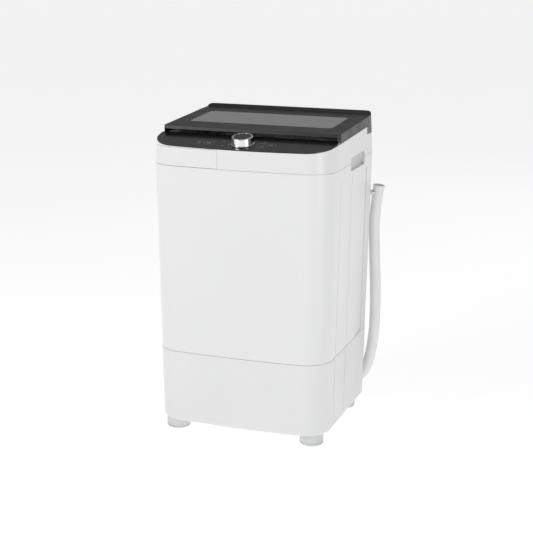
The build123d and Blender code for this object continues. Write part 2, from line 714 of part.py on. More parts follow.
def pipe(points, radii, r_out, r_in):
    path = FilletPolyline(*points, radius=radii)
    start = Plane(origin=path @ 0, z_dir=path % 0)
    solid = sweep(start * Circle(r_out), path=path)
    if r_in > 0:
        solid -= sweep(start * Circle(r_in), path=path)
    return solid, path.length


def elbow_end():
    (x0, z0), (x1, z1) = HOSE_XZ[0], HOSE_XZ[1]
    return Vector(x0, HOSE_Y, z0), Vector(x1 - x0, 0, z1 - z0).normalized()


def drain_elbow():
    """Moulded pipe from the bellows, out through the plinth and up to the hose."""
    end, direction = elbow_end()
    corner = end - direction * 26
    points = [(VALVE_X, VALVE_Y, BELLOWS_LOW_Z), (VALVE_X, VALVE_Y, ELBOW_Z), (ELBOW_X, 150, ELBOW_Z),
              (ELBOW_X, HOSE_Y, ELBOW_Z), (corner.X, HOSE_Y, corner.Z), tuple(end)]
    part, length = pipe(points, [20.0, 60.0, 16.5, 18.0], HOSE_R, HOSE_R - 3)
    return part


def drain_hose():
    points = [Vector(x, HOSE_Y, z) for x, z in HOSE_XZ]
    runs = [(b - a) for a, b in zip(points, points[1:])]
    radii = []
    for first, second in zip(runs, runs[1:]):
        half_turn = math.radians(first.get_angle(second)) / 2
        radii.append(0.45 * min(first.length, second.length) / math.tan(half_turn))
    part, length = pipe([tuple(p) for p in points], radii, HOSE_R, 0)
    section = math.pi * HOSE_R ** 2
    print("hose radii", [round(r) for r in radii])
    print("hose length", round(length, 1), "volume ratio", round(part.volume / (section * length), 4))
    return part


def hose_end():
    (x0, z0), (x1, z1) = HOSE_XZ[-2], HOSE_XZ[-1]
    tilt = math.degrees(math.atan2(x1 - x0, z1 - z0))
    return Pos(x1, HOSE_Y, z1) * Rot(0, tilt, 0)


def hose_cuff():
    """Cuff whose lower neck lies in the hook and whose upper end takes the adaptor."""
    collar_l = CUFF_L - CUFF_NECK_L
    sleeve = Pos(0, 0, CUFF_NECK_L + collar_l / 2) * Cylinder(CUFF_R, collar_l)
    sleeve = fillet(sleeve.edges().group_by(Axis.Z)[-1], 1.0)
    sleeve += Pos(0, 0, CUFF_NECK_L / 2) * Cylinder(CUFF_NECK_R, CUFF_NECK_L)
    bore = Pos(0, 0, 3 + CUFF_L / 2) * Cylinder(HOSE_R - 2.5, CUFF_L)
    return hose_end() * (sleeve - bore)


def hose_hook():
    """Open hook on the cabinet's rear corner, cupped round the near side of the cuff."""
    x, z = HOSE_XZ[-1]
    z0, z1 = z + 1, z + 10
    cup = box(x - 22, x - 4, HOSE_Y - 20, HOSE_Y + 9, z0, z1)
    arm = box(204, x - 14, 188, HOSE_Y - 10, z0, z1)
    plate = box(190, 212, 190, 200.5, z0 - 12, z1 + 12)
    clip = cup + arm + plate - hose_end() * Pos(0, 0, 10) * Cylinder(CUFF_NECK_R + 0.15, 60)
    return clip - body(500, 640, 0)


def inlet_valve():
    case = box(INLET_X - 24, INLET_X + 24, 150, 188, INLET_Z - 17, INLET_Z + 16.5)
    flange = y_cyl(INLET_X, 186, 200, INLET_Z, 16.8)
    spigot = y_cyl(INLET_X, 194, INLET_TIP_Y, INLET_Z, INLET_R)
    part = case + flange + spigot - y_cyl(INLET_X, 200, INLET_TIP_Y + 1, INLET_Z, 8.0)
    return part


def fill_hose():
    points = [(INLET_X - 24, 166, INLET_Z), (-188, 166, INLET_Z), (-188, 120, 735), (-185, -127.8, 735)]
    part, length = pipe(points, [12.0, 60.0], 7.0, 4.5)
    return part


def level_sensor():
    part = cyl(150, 165, 716, 734, 20) + cyl(150, 165, 733, DECK_Z - DECK_T, 8)
    return part + cyl(150, 165, 704, 717, 3.5)


def cord_gland():
    wall_y = Y_REAR - DRAFT * (SEAM_Z - 80) + 0.6
    flange = y_cyl(-90, wall_y - 2, wall_y + 6, 80, 10) - body(FOOT_H, PLINTH_Z, -0.61)
    part = flange + y_cyl(-90, wall_y - 8, wall_y + 1, 80, 5.8)
    return part - y_cyl(-90, wall_y - 2, wall_y + 10, 80, 3.6)


def pulsator():
    part = cyl(0, AXIS_Y, 250, 256, 150) + cyl(0, AXIS_Y, 246, 272, 24)
    part = part + Pos(0, AXIS_Y, 256 + 8) * Cone(46, 26, 16)
    for turn in range(6):
        vane = side_prism([(22, 254), (146, 254), (146, 258), (40, 278), (22, 278)], -6, 6)
        part += Pos(0, AXIS_Y, 0) * Rot(0, 0, 60 * turn) * vane
    part += ring(0, AXIS_Y, 254, 262, 150, 144)
    part -= cyl(0, AXIS_Y, 240, 262, SHAFT_R)
    return part - cyl(0, AXIS_Y, 261, 280, 11)


def pulsator_screw():
    return cyl(0, AXIS_Y, 262, 270, 10.8)


def wash_shaft():
    return cyl(0, AXIS_Y, 86, 262, SHAFT_R)


def spin_tube():
    return ring(0, AXIS_Y, 142, BASKET_Z, SPIN_R, SHAFT_R + RUN_GAP)


def basket_hub():
    part = ring(0, AXIS_Y, 222, BASKET_Z, 34, SPIN_R)
    for turn in range(3):
        part += Pos(0, AXIS_Y, 0) * Rot(0, 0, 120 * turn) * box(30, 160, -14, 14, 230, BASKET_Z)
    return part


def basket():
    part = ring(0, AXIS_Y, BASKET_Z, BASKET_TOP_Z, BASKET_R, BASKET_R - BASKET_WALL)
    part += ring(0, AXIS_Y, BASKET_Z, BASKET_Z + 1.6, BASKET_R, 16)
    for turn in range(8):
        rib = ring(BASKET_R + 1.0, 0, BASKET_Z + 30, BASKET_TOP_Z - 20, 9, 7.6)
        rib &= cyl(0, 0, BASKET_Z, BASKET_TOP_Z, BASKET_R - 1)
        part += Pos(0, AXIS_Y, 0) * Rot(0, 0, 45 * turn + 22.5) * rib
    return part


def balance_ring():
    part = ring(0, AXIS_Y, BASKET_TOP_Z, BASKET_TOP_Z + 30, BASKET_R + 3.5, 150)
    return fillet(part.edges().filter_by(GeomType.CIRCLE), 3)


def lint_filter():
    part = box(-34, 34, AXIS_Y + 140, AXIS_Y + 175, 370, 520)
    part -= box(-28, 28, AXIS_Y + 130, AXIS_Y + 146, 384, 506)
    return part & cyl(0, AXIS_Y, 360, 530, BASKET_R - BASKET_WALL - 0.1)


NODES = [
    cabinet_shell, base_plinth, top_cover, control_panel, display_window, encoder,
    switch_board, main_board, rear_deck, hinge_pins, rear_cover, rear_cover_screws,
    fixed_feet, inlet_valve, fill_hose, drawer_housing, level_sensor, hanger_brackets,
    suspension_rods, suspension_springs, grip_cups, cord_gland, drain_elbow, drain_bellows,
    drain_hose, hose_cuff, hose_hook, lid_frame, lid_window, lid_buffers, knob_body,
    knob_cap, knob_shaft, power_button, start_button, drawer_front, drawer_tray,
    levelling_foot, outer_tub, tub_cover_ring, tub_base_plate, clutch_housing,
    spin_bearings, shaft_seal, drive_motor, drive_belt, drain_valve, drain_actuator,
    drain_plunger, clutch_pulley, motor_pulley, basket, balance_ring, basket_hub,
    spin_tube, lint_filter, pulsator, pulsator_screw, wash_shaft,
]

os.makedirs("parts", exist_ok=True)
for make in NODES:
    export_step(make(), "parts/" + make.__name__ + ".step")
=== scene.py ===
import bpy
import bmesh
import json
import math
from mathutils import Matrix, Vector


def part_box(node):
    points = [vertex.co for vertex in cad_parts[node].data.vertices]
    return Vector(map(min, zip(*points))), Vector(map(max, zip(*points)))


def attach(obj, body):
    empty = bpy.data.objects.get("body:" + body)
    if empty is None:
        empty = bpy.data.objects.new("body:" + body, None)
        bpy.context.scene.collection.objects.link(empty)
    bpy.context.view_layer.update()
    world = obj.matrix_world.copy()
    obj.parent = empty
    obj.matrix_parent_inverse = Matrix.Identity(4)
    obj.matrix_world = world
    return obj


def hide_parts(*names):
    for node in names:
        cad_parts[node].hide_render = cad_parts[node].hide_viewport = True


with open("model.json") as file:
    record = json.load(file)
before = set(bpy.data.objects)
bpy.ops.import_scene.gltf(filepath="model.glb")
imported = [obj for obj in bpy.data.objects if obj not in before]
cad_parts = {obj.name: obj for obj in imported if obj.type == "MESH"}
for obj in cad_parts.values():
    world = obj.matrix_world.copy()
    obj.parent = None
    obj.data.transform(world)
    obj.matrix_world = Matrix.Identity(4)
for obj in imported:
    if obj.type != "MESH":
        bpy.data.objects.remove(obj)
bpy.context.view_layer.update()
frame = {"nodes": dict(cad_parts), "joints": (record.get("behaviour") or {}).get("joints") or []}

# ---------------------------------------------------------------- camera
CAMERA_AT = Vector((1.11626, -3.16961, 1.27371))
AZIMUTH = 0.3406
ELEVATION = 0.2540
ROLL = 0.0043
LENS = 87.77
SENSOR = 36.0
SHIFT = (0.00737, 0.00994)


def make_camera():
    back = Vector((math.sin(AZIMUTH) * math.cos(ELEVATION),
                   -math.cos(AZIMUTH) * math.cos(ELEVATION), math.sin(ELEVATION)))
    right = Vector((math.cos(AZIMUTH), math.sin(AZIMUTH), 0.0))
    up = back.cross(right)
    across = right * math.cos(ROLL) + up * math.sin(ROLL)
    upward = up * math.cos(ROLL) - right * math.sin(ROLL)
    data = bpy.data.cameras.new("camera")
    data.lens, data.sensor_width = LENS, SENSOR
    data.shift_x, data.shift_y = SHIFT
    data.clip_end = 400.0
    camera = bpy.data.objects.new("camera", data)
    turn = Matrix((across, upward, back)).transposed().to_4x4()
    camera.matrix_world = Matrix.Translation(CAMERA_AT) @ turn
    bpy.context.scene.collection.objects.link(camera)
    bpy.context.scene.camera = camera


make_camera()

# ---------------------------------------------------------------- materials
MM = 0.001


class Finish:
    """A node material built up from noise in the piece's own coordinates."""

    def __init__(self, name, colour, rough, metal=0.0, specular=0.5):
        self.material = bpy.data.materials.new(name)
        self.material.use_nodes = True
        self.nodes = self.material.node_tree.nodes
        self.links = self.material.node_tree.links
        self.shader = self.nodes["Principled BSDF"]
        self.shader.inputs["Metallic"].default_value = metal
        self.shader.inputs["Specular IOR Level"].default_value = specular
        self.place = self.add("ShaderNodeTexCoord").outputs["Object"]
        self.colour = colour
        self.rough = rough
        self.normal = None

    def add(self, kind, **values):
        node = self.nodes.new(kind)
        for key, value in values.items():
            setattr(node, key, value)
        return node

    def noise(self, scale, detail=2.0, stretch=(1, 1, 1)):
        place = self.place
        if stretch != (1, 1, 1):
            mapping = self.add("ShaderNodeMapping")
            mapping.inputs["Scale"].default_value = stretch
            self.links.new(place, mapping.inputs["Vector"])
            place = mapping.outputs["Vector"]
        node = self.add("ShaderNodeTexNoise")
        node.inputs["Scale"].default_value = scale
        node.inputs["Detail"].default_value = detail
        self.links.new(place, node.inputs["Vector"])
        return node.outputs["Fac"]

    def between(self, value, low, high, start=0.2, end=0.8):
        node = self.add("ShaderNodeMapRange", interpolation_type="SMOOTHSTEP")
        node.inputs["From Min"].default_value = start
        node.inputs["From Max"].default_value = end
        node.inputs["To Min"].default_value = low
        node.inputs["To Max"].default_value = high
        self.links.new(value, node.inputs["Value"])
        return node.outputs["Result"]

    def mottle(self, scale, spread, second=None, stretch=(1, 1, 1)):
        """Base colour drifting between two close tones."""
        low = [max(0.0, c * (1 - spread)) for c in self.colour]
        high = second or [min(1.0, c * (1 + spread)) for c in self.colour]
        mix = self.add("ShaderNodeMix", data_type="RGBA")
        mix.inputs["A"].default_value = (*low, 1)
        mix.inputs["B"].default_value = (*high, 1)
        fac = self.between(self.noise(scale, 4.0, stretch), 0.0, 1.0)
        self.links.new(fac, mix.inputs["Factor"])
        self.links.new(mix.outputs["Result"], self.shader.inputs["Base Color"])
        return self

    def smudge(self, scale, spread, stretch=(1, 1, 1)):
        """Roughness drifting either side of its middle value."""
        value = self.between(self.noise(scale, 3.0, stretch), self.rough - spread, self.rough + spread)
        self.links.new(value, self.shader.inputs["Roughness"])
        return self

    def bump(self, height, strength, distance):
        node = self.add("ShaderNodeBump")
        node.inputs["Strength"].default_value = strength
        node.inputs["Distance"].default_value = distance
        self.links.new(height, node.inputs["Height"])
        if self.normal is not None:
            self.links.new(self.normal, node.inputs["Normal"])
        self.normal = node.outputs["Normal"]
        self.links.new(self.normal, self.shader.inputs["Normal"])
        return self

    def grain(self, scale, strength, distance=0.0002, detail=2.0, stretch=(1, 1, 1)):
        return self.bump(self.noise(scale, detail, stretch), strength, distance)

    def pebble(self, scale, strength, distance=0.0002):
        """Moulded leather-like grain of an injection tool."""
        node = self.add("ShaderNodeTexVoronoi")
        node.inputs["Scale"].default_value = scale
        self.links.new(self.place, node.inputs["Vector"])
        return self.bump(node.outputs["Distance"], strength, distance)

    def edges(self, radius):
        """Softened sharp edges, so they catch the light."""
        node = self.add("ShaderNodeBevel", samples=4)
        node.inputs["Radius"].default_value = radius
        self.normal = node.outputs["Normal"]
        self.links.new(self.normal, self.shader.inputs["Normal"])
        return self

    def set(self, **values):
        for key, value in values.items():
            self.shader.inputs[key.replace("_", " ")].default_value = value
        return self


def moulded(name, colour, rough=0.4, grain=900.0, strength=0.12, spread=0.04, radius=0.0006):
    return (Finish(name, colour, rough).edges(radius).mottle(9.0, spread).smudge(24.0, 0.05)
            .pebble(grain, strength).material)


def glossy(name, colour, rough=0.2, peel=0.05, spread=0.012, specular=0.5, coat=0.35):
    made = Finish(name, colour, rough, specular=specular).mottle(2.5, spread).smudge(7.0, rough * 0.08)
    made.grain(320.0, peel, 0.0002)
    return made.set(Coat_Weight=coat, Coat_Roughness=0.07).material


def metal(name, colour, rough, stretch=(1, 1, 30), scale=14.0, strength=0.08, spread=0.06):
    made = Finish(name, colour, rough, metal=1.0).edges(0.0004).mottle(scale, spread, stretch=stretch)
    made.smudge(scale * 3, rough * 0.3, stretch)
    return made.grain(scale * 8, strength, 0.0001, 3.0, stretch).material


WHITE = glossy("white_lacquer", (0.80, 0.802, 0.805), 0.30, 0.03, 0.008, 0.45, 0.2)
PLINTH_WHITE = moulded("white_plinth_plastic", (0.79, 0.792, 0.795), 0.40, 1400.0, 0.05, 0.010)
COVER_WHITE = glossy("white_cover_plastic", (0.80, 0.802, 0.805), 0.28, 0.03, 0.008, 0.45, 0.2)
GRIP_WHITE = moulded("white_grip_plastic", (0.76, 0.762, 0.765), 0.42, 1100.0, 0.08, 0.02)
BLACK_PANEL = glossy("black_console_gloss", (0.010, 0.010, 0.011), 0.20, 0.02, 0.2, 0.35, 0.25)
BLACK_DECK = moulded("black_deck_plastic", (0.012, 0.012, 0.013), 0.3, 1300.0, 0.06, 0.12)
BLACK_LID = moulded("black_lid_plastic", (0.008, 0.008, 0.0085), 0.38, 1500.0, 0.05, 0.12)
GREY_PLASTIC = moulded("grey_plastic", (0.45, 0.46, 0.47), 0.45)
DARK_PLASTIC = moulded("dark_plastic", (0.05, 0.05, 0.055), 0.42)
FOOT_GREY = moulded("grey_foot_plastic", (0.66, 0.665, 0.67), 0.5, 700.0, 0.16, 0.05)
TUB_PLASTIC = moulded("tub_polypropylene", (0.60, 0.62, 0.62), 0.5, 600.0, 0.12, 0.05)
BALANCE = moulded("balance_ring_plastic", (0.66, 0.68, 0.69), 0.33, 1100.0, 0.05, 0.03)
PULSATOR = moulded("pulsator_plastic", (0.62, 0.65, 0.68), 0.3, 1200.0, 0.05, 0.03)
FILTER = moulded("filter_plastic", (0.32, 0.42, 0.52), 0.38, 1000.0, 0.08, 0.05)
RUBBER = moulded("black_rubber", (0.022, 0.022, 0.022), 0.7, 500.0, 0.25, 0.15)
SOFT_HOSE = moulded("soft_fill_hose", (0.30, 0.31, 0.32), 0.6, 500.0, 0.2, 0.08)
VALVE = moulded("valve_plastic", (0.62, 0.62, 0.60), 0.38)
BELT = moulded("belt_rubber", (0.03, 0.03, 0.03), 0.75, 400.0, 0.3, 0.2)
DRAIN_GREY = moulded("drain_pipe_grey", (0.40, 0.41, 0.42), 0.45, 700.0, 0.12, 0.05)
CLIP_WHITE = moulded("clip_white_plastic", (0.80, 0.80, 0.79), 0.35, 1000.0, 0.06, 0.02)
CHROME = metal("dial_chrome", (0.80, 0.80, 0.81), 0.12, (1, 1, 0.05), 60.0, 0.03, 0.04)
STEEL = metal("bright_steel", (0.62, 0.62, 0.63), 0.25)
BASKET_STEEL = metal("basket_stainless", (0.66, 0.66, 0.65), 0.24, (1, 1, 40), 10.0, 0.05, 0.05)
ZINC = metal("zinc_sheet", (0.58, 0.60, 0.62), 0.38, (1, 1, 1), 22.0, 0.05, 0.12)
SPRING_STEEL = metal("spring_steel", (0.35, 0.35, 0.36), 0.3)
CAST = metal("cast_aluminium", (0.52, 0.53, 0.54), 0.5, (1, 1, 1), 60.0, 0.3, 0.12)
MOTOR_PAINT = moulded("motor_paint", (0.09, 0.095, 0.10), 0.4, 800.0, 0.1, 0.1)
DIAL_INSERT = (Finish("dial_insert_black", (0.012, 0.012, 0.013), 0.2).edges(0.0004).mottle(30.0, 0.2)
               .smudge(60.0, 0.05).grain(900.0, 0.05, 0.0001).material)
BLACK_KEY = glossy("black_key_gloss", (0.014, 0.014, 0.015), 0.22, 0.02, 0.15, 0.4, 0.2)
PRINT_GREY = moulded("console_print", (0.30, 0.30, 0.305), 0.5, 2500.0, 0.04, 0.08)
LAMP_WHITE = moulded("display_segment", (0.46, 0.47, 0.48), 0.4, 2500.0, 0.03, 0.06)


def hose_finish():
    """Soft light grey PVC, with the faint rings that an extruder leaves."""
    made = Finish("hose_pvc", (0.84, 0.842, 0.845), 0.36).mottle(14.0, 0.03).smudge(30.0, 0.05)
    made.grain(300.0, 0.06, 0.0003, 2.0, (0.3, 0.3, 2.0))
    return made.set(Subsurface_Weight=0.08, Coat_Weight=0.15, Coat_Roughness=0.2).material


def smoked_glass():
    made = Finish("smoked_window_glass", (0.50, 0.51, 0.52), 0.06).smudge(16.0, 0.02)
    made.mottle(5.0, 0.04)
    made.grain(60.0, 0.02, 0.0001)
    return made.set(Transmission_Weight=0.55, IOR=1.49, Coat_Weight=0.4, Coat_Roughness=0.03).material


def circuit_board():
    made = Finish("circuit_board_green", (0.03, 0.16, 0.07), 0.35).edges(0.0003)
    made.mottle(160.0, 0.1, (0.10, 0.30, 0.14))
    return made.smudge(40.0, 0.08).grain(700.0, 0.15, 0.0001).material


HOSE_PVC = hose_finish()
SMOKED = smoked_glass()
BOARD = circuit_board()

FINISHES = [
    (WHITE, ["cabinet_shell", "rear_cover"]),
    (PLINTH_WHITE, ["base_plinth"]),
    (COVER_WHITE, ["top_cover", "drawer_front"]),
    (GRIP_WHITE, ["grip_cups"]),
    (GREY_PLASTIC, ["drawer_tray", "drawer_housing", "level_sensor"]),
    (BLACK_PANEL, ["control_panel", "display_window"]),
    (BLACK_DECK, ["rear_deck"]),
    (BLACK_LID, ["lid_frame"]),
    (SMOKED, ["lid_window"]),
    (CHROME, ["knob_body"]),
    (DIAL_INSERT, ["knob_cap"]),
    (BLACK_KEY, ["power_button", "start_button"]),
    (DARK_PLASTIC, ["encoder", "cord_gland", "drain_actuator"]),
    (BOARD, ["switch_board", "main_board"]),
    (ZINC, ["hanger_brackets", "tub_base_plate", "rear_cover_screws"]),
    (FOOT_GREY, ["fixed_feet", "levelling_foot"]),
    (VALVE, ["inlet_valve", "drain_valve"]),
    (SOFT_HOSE, ["fill_hose"]),
    (SPRING_STEEL, ["suspension_springs"]),
    (STEEL, ["suspension_rods", "hinge_pins", "knob_shaft", "spin_bearings", "wash_shaft", "spin_tube",
             "drain_plunger", "pulsator_screw", "motor_pulley"]),
    (RUBBER, ["lid_buffers", "drain_bellows", "shaft_seal"]),
    (DRAIN_GREY, ["drain_elbow"]),
    (HOSE_PVC, ["hose_cuff", "drain_hose"]),
    (CLIP_WHITE, ["hose_hook"]),
    (TUB_PLASTIC, ["outer_tub", "tub_cover_ring"]),
    (CAST, ["clutch_housing", "clutch_pulley", "basket_hub"]),
    (MOTOR_PAINT, ["drive_motor"]),
    (BELT, ["drive_belt"]),
    (BASKET_STEEL, ["basket"]),
    (BALANCE, ["balance_ring"]),
    (FILTER, ["lint_filter"]),
    (PULSATOR, ["pulsator"]),
]


def dress_nodes():
    for material, names in FINISHES:
        for name in names:
            node = frame["nodes"][name]
            node.data.materials.clear()
            node.data.materials.append(material)


dress_nodes()

# ---------------------------------------------------------------- helpers for new pieces


def piece(name, vertices, faces, material, body, smooth=False):
    mesh = bpy.data.meshes.new(name)
    mesh.from_pydata(vertices, [], faces)
    mesh.materials.append(material)
    if smooth:
        mesh.polygons.foreach_set("use_smooth", [True] * len(mesh.polygons))
    made = bpy.data.objects.new(name, mesh)
    bpy.context.scene.collection.objects.link(made)
    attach(made, body)
    return made


def middle(node):
    low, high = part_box(node)
    return (low + high) / 2


# ---------------------------------------------------------------- drain hose
HOSE_Y = 0.212
HOSE_XZ = [(0.182, 0.046), (0.215, 0.068), (0.234, 0.105), (0.245, 0.159), (0.251, 0.229),
           (0.250, 0.330), (0.244, 0.440), (0.241, 0.530), (0.249, 0.590)]
HOSE_WIDTH = 0.030


def make_hose():
    data = bpy.data.curves.new("hose_run", "CURVE")
    data.dimensions = "3D"
    data.bevel_depth = HOSE_WIDTH / 2
    data.bevel_resolution = 8
    data.use_fill_caps = True
    data.resolution_u = 16
    line = data.splines.new("NURBS")
    line.points.add(len(HOSE_XZ) - 1)
    for point, (x, z) in zip(line.points, HOSE_XZ):
        point.co = (x, HOSE_Y, z, 1.0)
    line.order_u = 3
    line.use_endpoint_u = True
    data.materials.append(HOSE_PVC)
    hose = bpy.data.objects.new("hose_run", data)
    bpy.context.scene.collection.objects.link(hose)
    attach(hose, "cabinet")
    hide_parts("drain_hose")


make_hose()

# ---------------------------------------------------------------- console prints
DIAL = next(j for j in frame["joints"] if j["name"] == "dial_turn")
FACE_UP = Vector(DIAL["axis"]).normalized()
if FACE_UP.z < 0:
    FACE_UP.negate()
FACE_BACK = Vector((0, FACE_UP.z, -FACE_UP.y))
PANEL_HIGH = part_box("control_panel")[1]
PANEL_EDGE = Vector((0, PANEL_HIGH.y, PANEL_HIGH.z))
PRINT_T = 0.00005
# The icons are laid out round a point this far behind the middle of the dial.
PRINT_BEHIND_DIAL = 0.0085


def on_panel(x, y, lift=0.0):
    """Point on the console's top face above the given x and y."""
    z = PANEL_EDGE.z - (y - PANEL_EDGE.y) * FACE_UP.y / FACE_UP.z
    return Vector((x, y, z)) + FACE_UP * lift


def prism_print(name, shapes, centre, lift, material, body):
    """Thin raised ink: every shape is a list of (u, v) corners in millimetres round the centre."""
    vertices = []
    faces = []
    base = on_panel(centre.x, centre.y, lift)
    for shape in shapes:
        count = len(shape)
        first = len(vertices)
        for level in (0.0, PRINT_T):
            for u, v in shape:
                vertices.append(base + Vector((u * MM, 0, 0)) + FACE_BACK * (v * MM) + FACE_UP * level)
        faces.append(list(range(first + count - 1, first - 1, -1)))
        faces.append(list(range(first + count, first + 2 * count)))
        for index in range(count):
            after = (index + 1) % count
            faces.append([first + index, first + after, first + count + after, first + count + index])
    return piece(name, vertices, faces, material, body)


def bar(u, v, width, height, turn=0.0):
    c, s = math.cos(turn), math.sin(turn)
    right, top = width / 2, height / 2
    corners = [(-right, -top), (right, -top), (right, top), (-right, top)]
    return [(u + a * c - b * s, v + a * s + b * c) for a, b in corners]


def disc(u, v, radius, count=14):
    steps = [2 * math.pi * k / count for k in range(count)]
    return [(u + radius * math.cos(t), v + radius * math.sin(t)) for t in steps]


def arc(u, v, radius, width, start, end, count=28):
    """Curved band, as a row of four-cornered shapes."""
    shapes = []
    for k in range(count):
        a = start + (end - start) * k / count
        b = start + (end - start) * (k + 1) / count
        inner, outer = radius - width / 2, radius + width / 2
        shapes.append([(u + r * math.cos(t), v + r * math.sin(t))
                       for r, t in ((inner, a), (outer, a), (outer, b), (inner, b))])
    return shapes


def drop_icon(u, v, size):
    points = []
    for k in range(20):
        t = 2 * math.pi * k / 20
        r = size * (0.62 + 0.38 * max(0.0, math.sin(t)) ** 3)
        points.append((u + r * 0.72 * math.cos(t), v + r * math.sin(t)))
    return points


SEGMENTS = {"0": "abcdef", "1": "bc", "3": "abcdg"}


def digit(text, u, v, height):
    half, width, thick = height / 2, height * 0.52, height * 0.13
    places = {
        "a": (0, half, width, thick), "g": (0, 0, width, thick), "d": (0, -half, width, thick),
        "b": (width / 2, half / 2, thick, half * 0.86), "c": (width / 2, -half / 2, thick, half * 0.86),
        "f": (-width / 2, half / 2, thick, half * 0.86), "e": (-width / 2, -half / 2, thick, half * 0.86),
    }
    return [bar(u + places[s][0], v + places[s][1], places[s][2], places[s][3]) for s in SEGMENTS[text]]


def console_prints():
    knob = middle("knob_body")
    centre = Vector((knob.x, DIAL["pos_m"][1] + PRINT_BEHIND_DIAL, 0))
    dial = Vector((knob.x, DIAL["pos_m"][1], 0))
    marks = []
    for k in range(11):
        t = math.radians(-60 + 30 * k)
        if -1.3 < math.sin(t) < 0.95:
            marks.append(bar(37.5 * math.cos(t), 37.5 * math.sin(t), 2.6 if k % 2 else 4.0, 0.7, t))
    prism_print("print_dial_marks", marks, dial, 0.00002, PRINT_GREY, "cabinet")
    column = []
    for row in range(5):
        v = 18 - 9.5 * row
        column.append(bar(38 + 2.0 * (row % 2), v - 16, 10 + 3 * ((row * 2) % 3), 1.5))
        column.append(disc(29.5, v - 16, 0.9))
    place = centre + Vector((0.012, 0.012, 0))
    prism_print("print_right_column", column, place, 0.00002, PRINT_GREY, "cabinet")
    left = [drop_icon(-34, -18, 3.2), bar(-24.5, -34, 9, 1.4)]
    left += [bar(-54, 4, 8, 1.4), bar(-54, 0.5, 5.5, 1.0)]
    left += arc(-46, -30, 3.2, 0.8, 0.5, 5.2, 14)
    prism_print("print_left_icons", left, centre, 0.00002, PRINT_GREY, "cabinet")


def display_marks():
    centre = middle("display_window")
    shapes = digit("1", -9, 0, 7.5) + digit("3", 2.5, 0, 7.5) + digit("0", 10, 0, 7.5)
    shapes += [disc(-3.5, 1.6, 0.5), disc(-3.5, -1.6, 0.5)]
    shapes += [bar(-18, 3.5, 7, 1.0), bar(-18, 0, 5.5, 1.0), bar(-18, -3.5, 7, 1.0)]
    shapes += [drop_icon(19, 1, 2.4)]
    prism_print("display_digits", shapes, centre, 0.00013, LAMP_WHITE, "cabinet")
    under = [bar(-20 + 10 * k, -12.5, 6.5, 1.1) for k in range(5)]
    under += [bar(-20 + 10 * k, 12, 5.5, 1.0) for k in range(5)]
    prism_print("print_display_legends", under, centre, 0.00002, PRINT_GREY, "cabinet")


def key_marks():
    power = middle("power_button")
    shapes = arc(0, 0, 2.6, 0.6, 2.2, 2.2 + 4.9, 20) + [bar(0, 1.9, 0.6, 3.2)]
    prism_print("print_power_symbol", shapes, power, 0.00082, LAMP_WHITE, "power_key")
    start = middle("start_button")
    shapes = [[(-3.4, -2.4), (0.4, 0), (-3.4, 2.4)], bar(1.9, 0, 1.0, 4.6), bar(3.8, 0, 1.0, 4.6)]
    prism_print("print_start_symbol", shapes, start, 0.00082, LAMP_WHITE, "start_key")
    ring = arc(0, 0, 11.9, 0.7, 0, 2 * math.pi, 48)
    prism_print("print_start_ring", ring, start, 0.00002, PRINT_GREY, "cabinet")


console_prints()
display_marks()
key_marks()

# ---------------------------------------------------------------- perforated basket
HOLE_R = 0.0022
HOLE_COLUMNS, HOLE_ROWS = 96, 27
PLAIN_ROWS = 2
SHEET_T = 0.0009
TUCK = 0.0003
RIBS = 8
RIB_DEPTH = 0.0055
RIB_HALF_ANGLE = math.radians(5.0)
RIB_FADE = 0.08


def smooth(share):
    """Ease from 0 to 1 without a kink at either end."""
    return 3 * share ** 2 - 2 * share ** 3


CELL_RIM = [(0, 0), (1, 0), (2, 0), (2, 1), (2, 2), (1, 2), (0, 2), (0, 1)]


def polar(centre, radius, angle, z):
    return Vector((centre.x + radius * math.cos(angle), centre.y + radius * math.sin(angle), z))


def emboss(angle, share):
    """How far the wall is pressed inwards: eight upright ribs that fade out at both ends."""
    step = 2 * math.pi / RIBS
    off = abs(angle % step - step / 2)
    side = 0.5 + 0.5 * math.cos(math.pi * min(1.0, off / RIB_HALF_ANGLE))
    ends = min(1.0, min(share, 1 - share) / RIB_FADE)
    return RIB_DEPTH * side * smooth(ends)


def make_basket():
    low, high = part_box("basket")
    centre = (low + high) / 2
    outer = (high.x - low.x) / 2 - TUCK
    across = 2 * math.pi / HOLE_COLUMNS
    rise = (high.z - low.z) / HOLE_ROWS
    vertices, faces, lookup = [], [], {}

    def corner(i, j):
        key = (i % (2 * HOLE_COLUMNS), j)
        if key not in lookup:
            angle = key[0] * across / 2
            z = low.z + j * rise / 2
            lookup[key] = len(vertices)
            radius = outer - emboss(angle, (z - low.z) / (high.z - low.z))
            vertices.append(polar(centre, radius, angle, z))
        return lookup[key]

    for i in range(HOLE_COLUMNS):
        for j in range(HOLE_ROWS):
            ring = [corner(2 * i + a, 2 * j + b) for a, b in CELL_RIM]
            plain = not PLAIN_ROWS <= j < HOLE_ROWS - PLAIN_ROWS
            if plain or (i % 4 == 3 and j % 2):
                faces.append(ring)
                continue
            angle, z = (i + 0.5) * across, low.z + (j + 0.5) * rise
            first = len(vertices)
            for k in range(8):
                t = math.radians(-135 + 45 * k)
                spot = angle + HOLE_R * math.cos(t) / outer
                radius = outer - emboss(spot, (z - low.z) / (high.z - low.z))
                vertices.append(polar(centre, radius, spot, z + HOLE_R * math.sin(t)))
            for k in range(8):
                after = (k + 1) % 8
                faces.append([ring[k], ring[after], first + after, first + k])
    wall = piece("basket_perforated", vertices, faces, BASKET_STEEL, "spin_basket", True)
    thick = wall.modifiers.new("sheet", "SOLIDIFY")
    thick.thickness = SHEET_T
    thick.offset = -1.0
    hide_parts("basket")
    return centre, outer, low.z


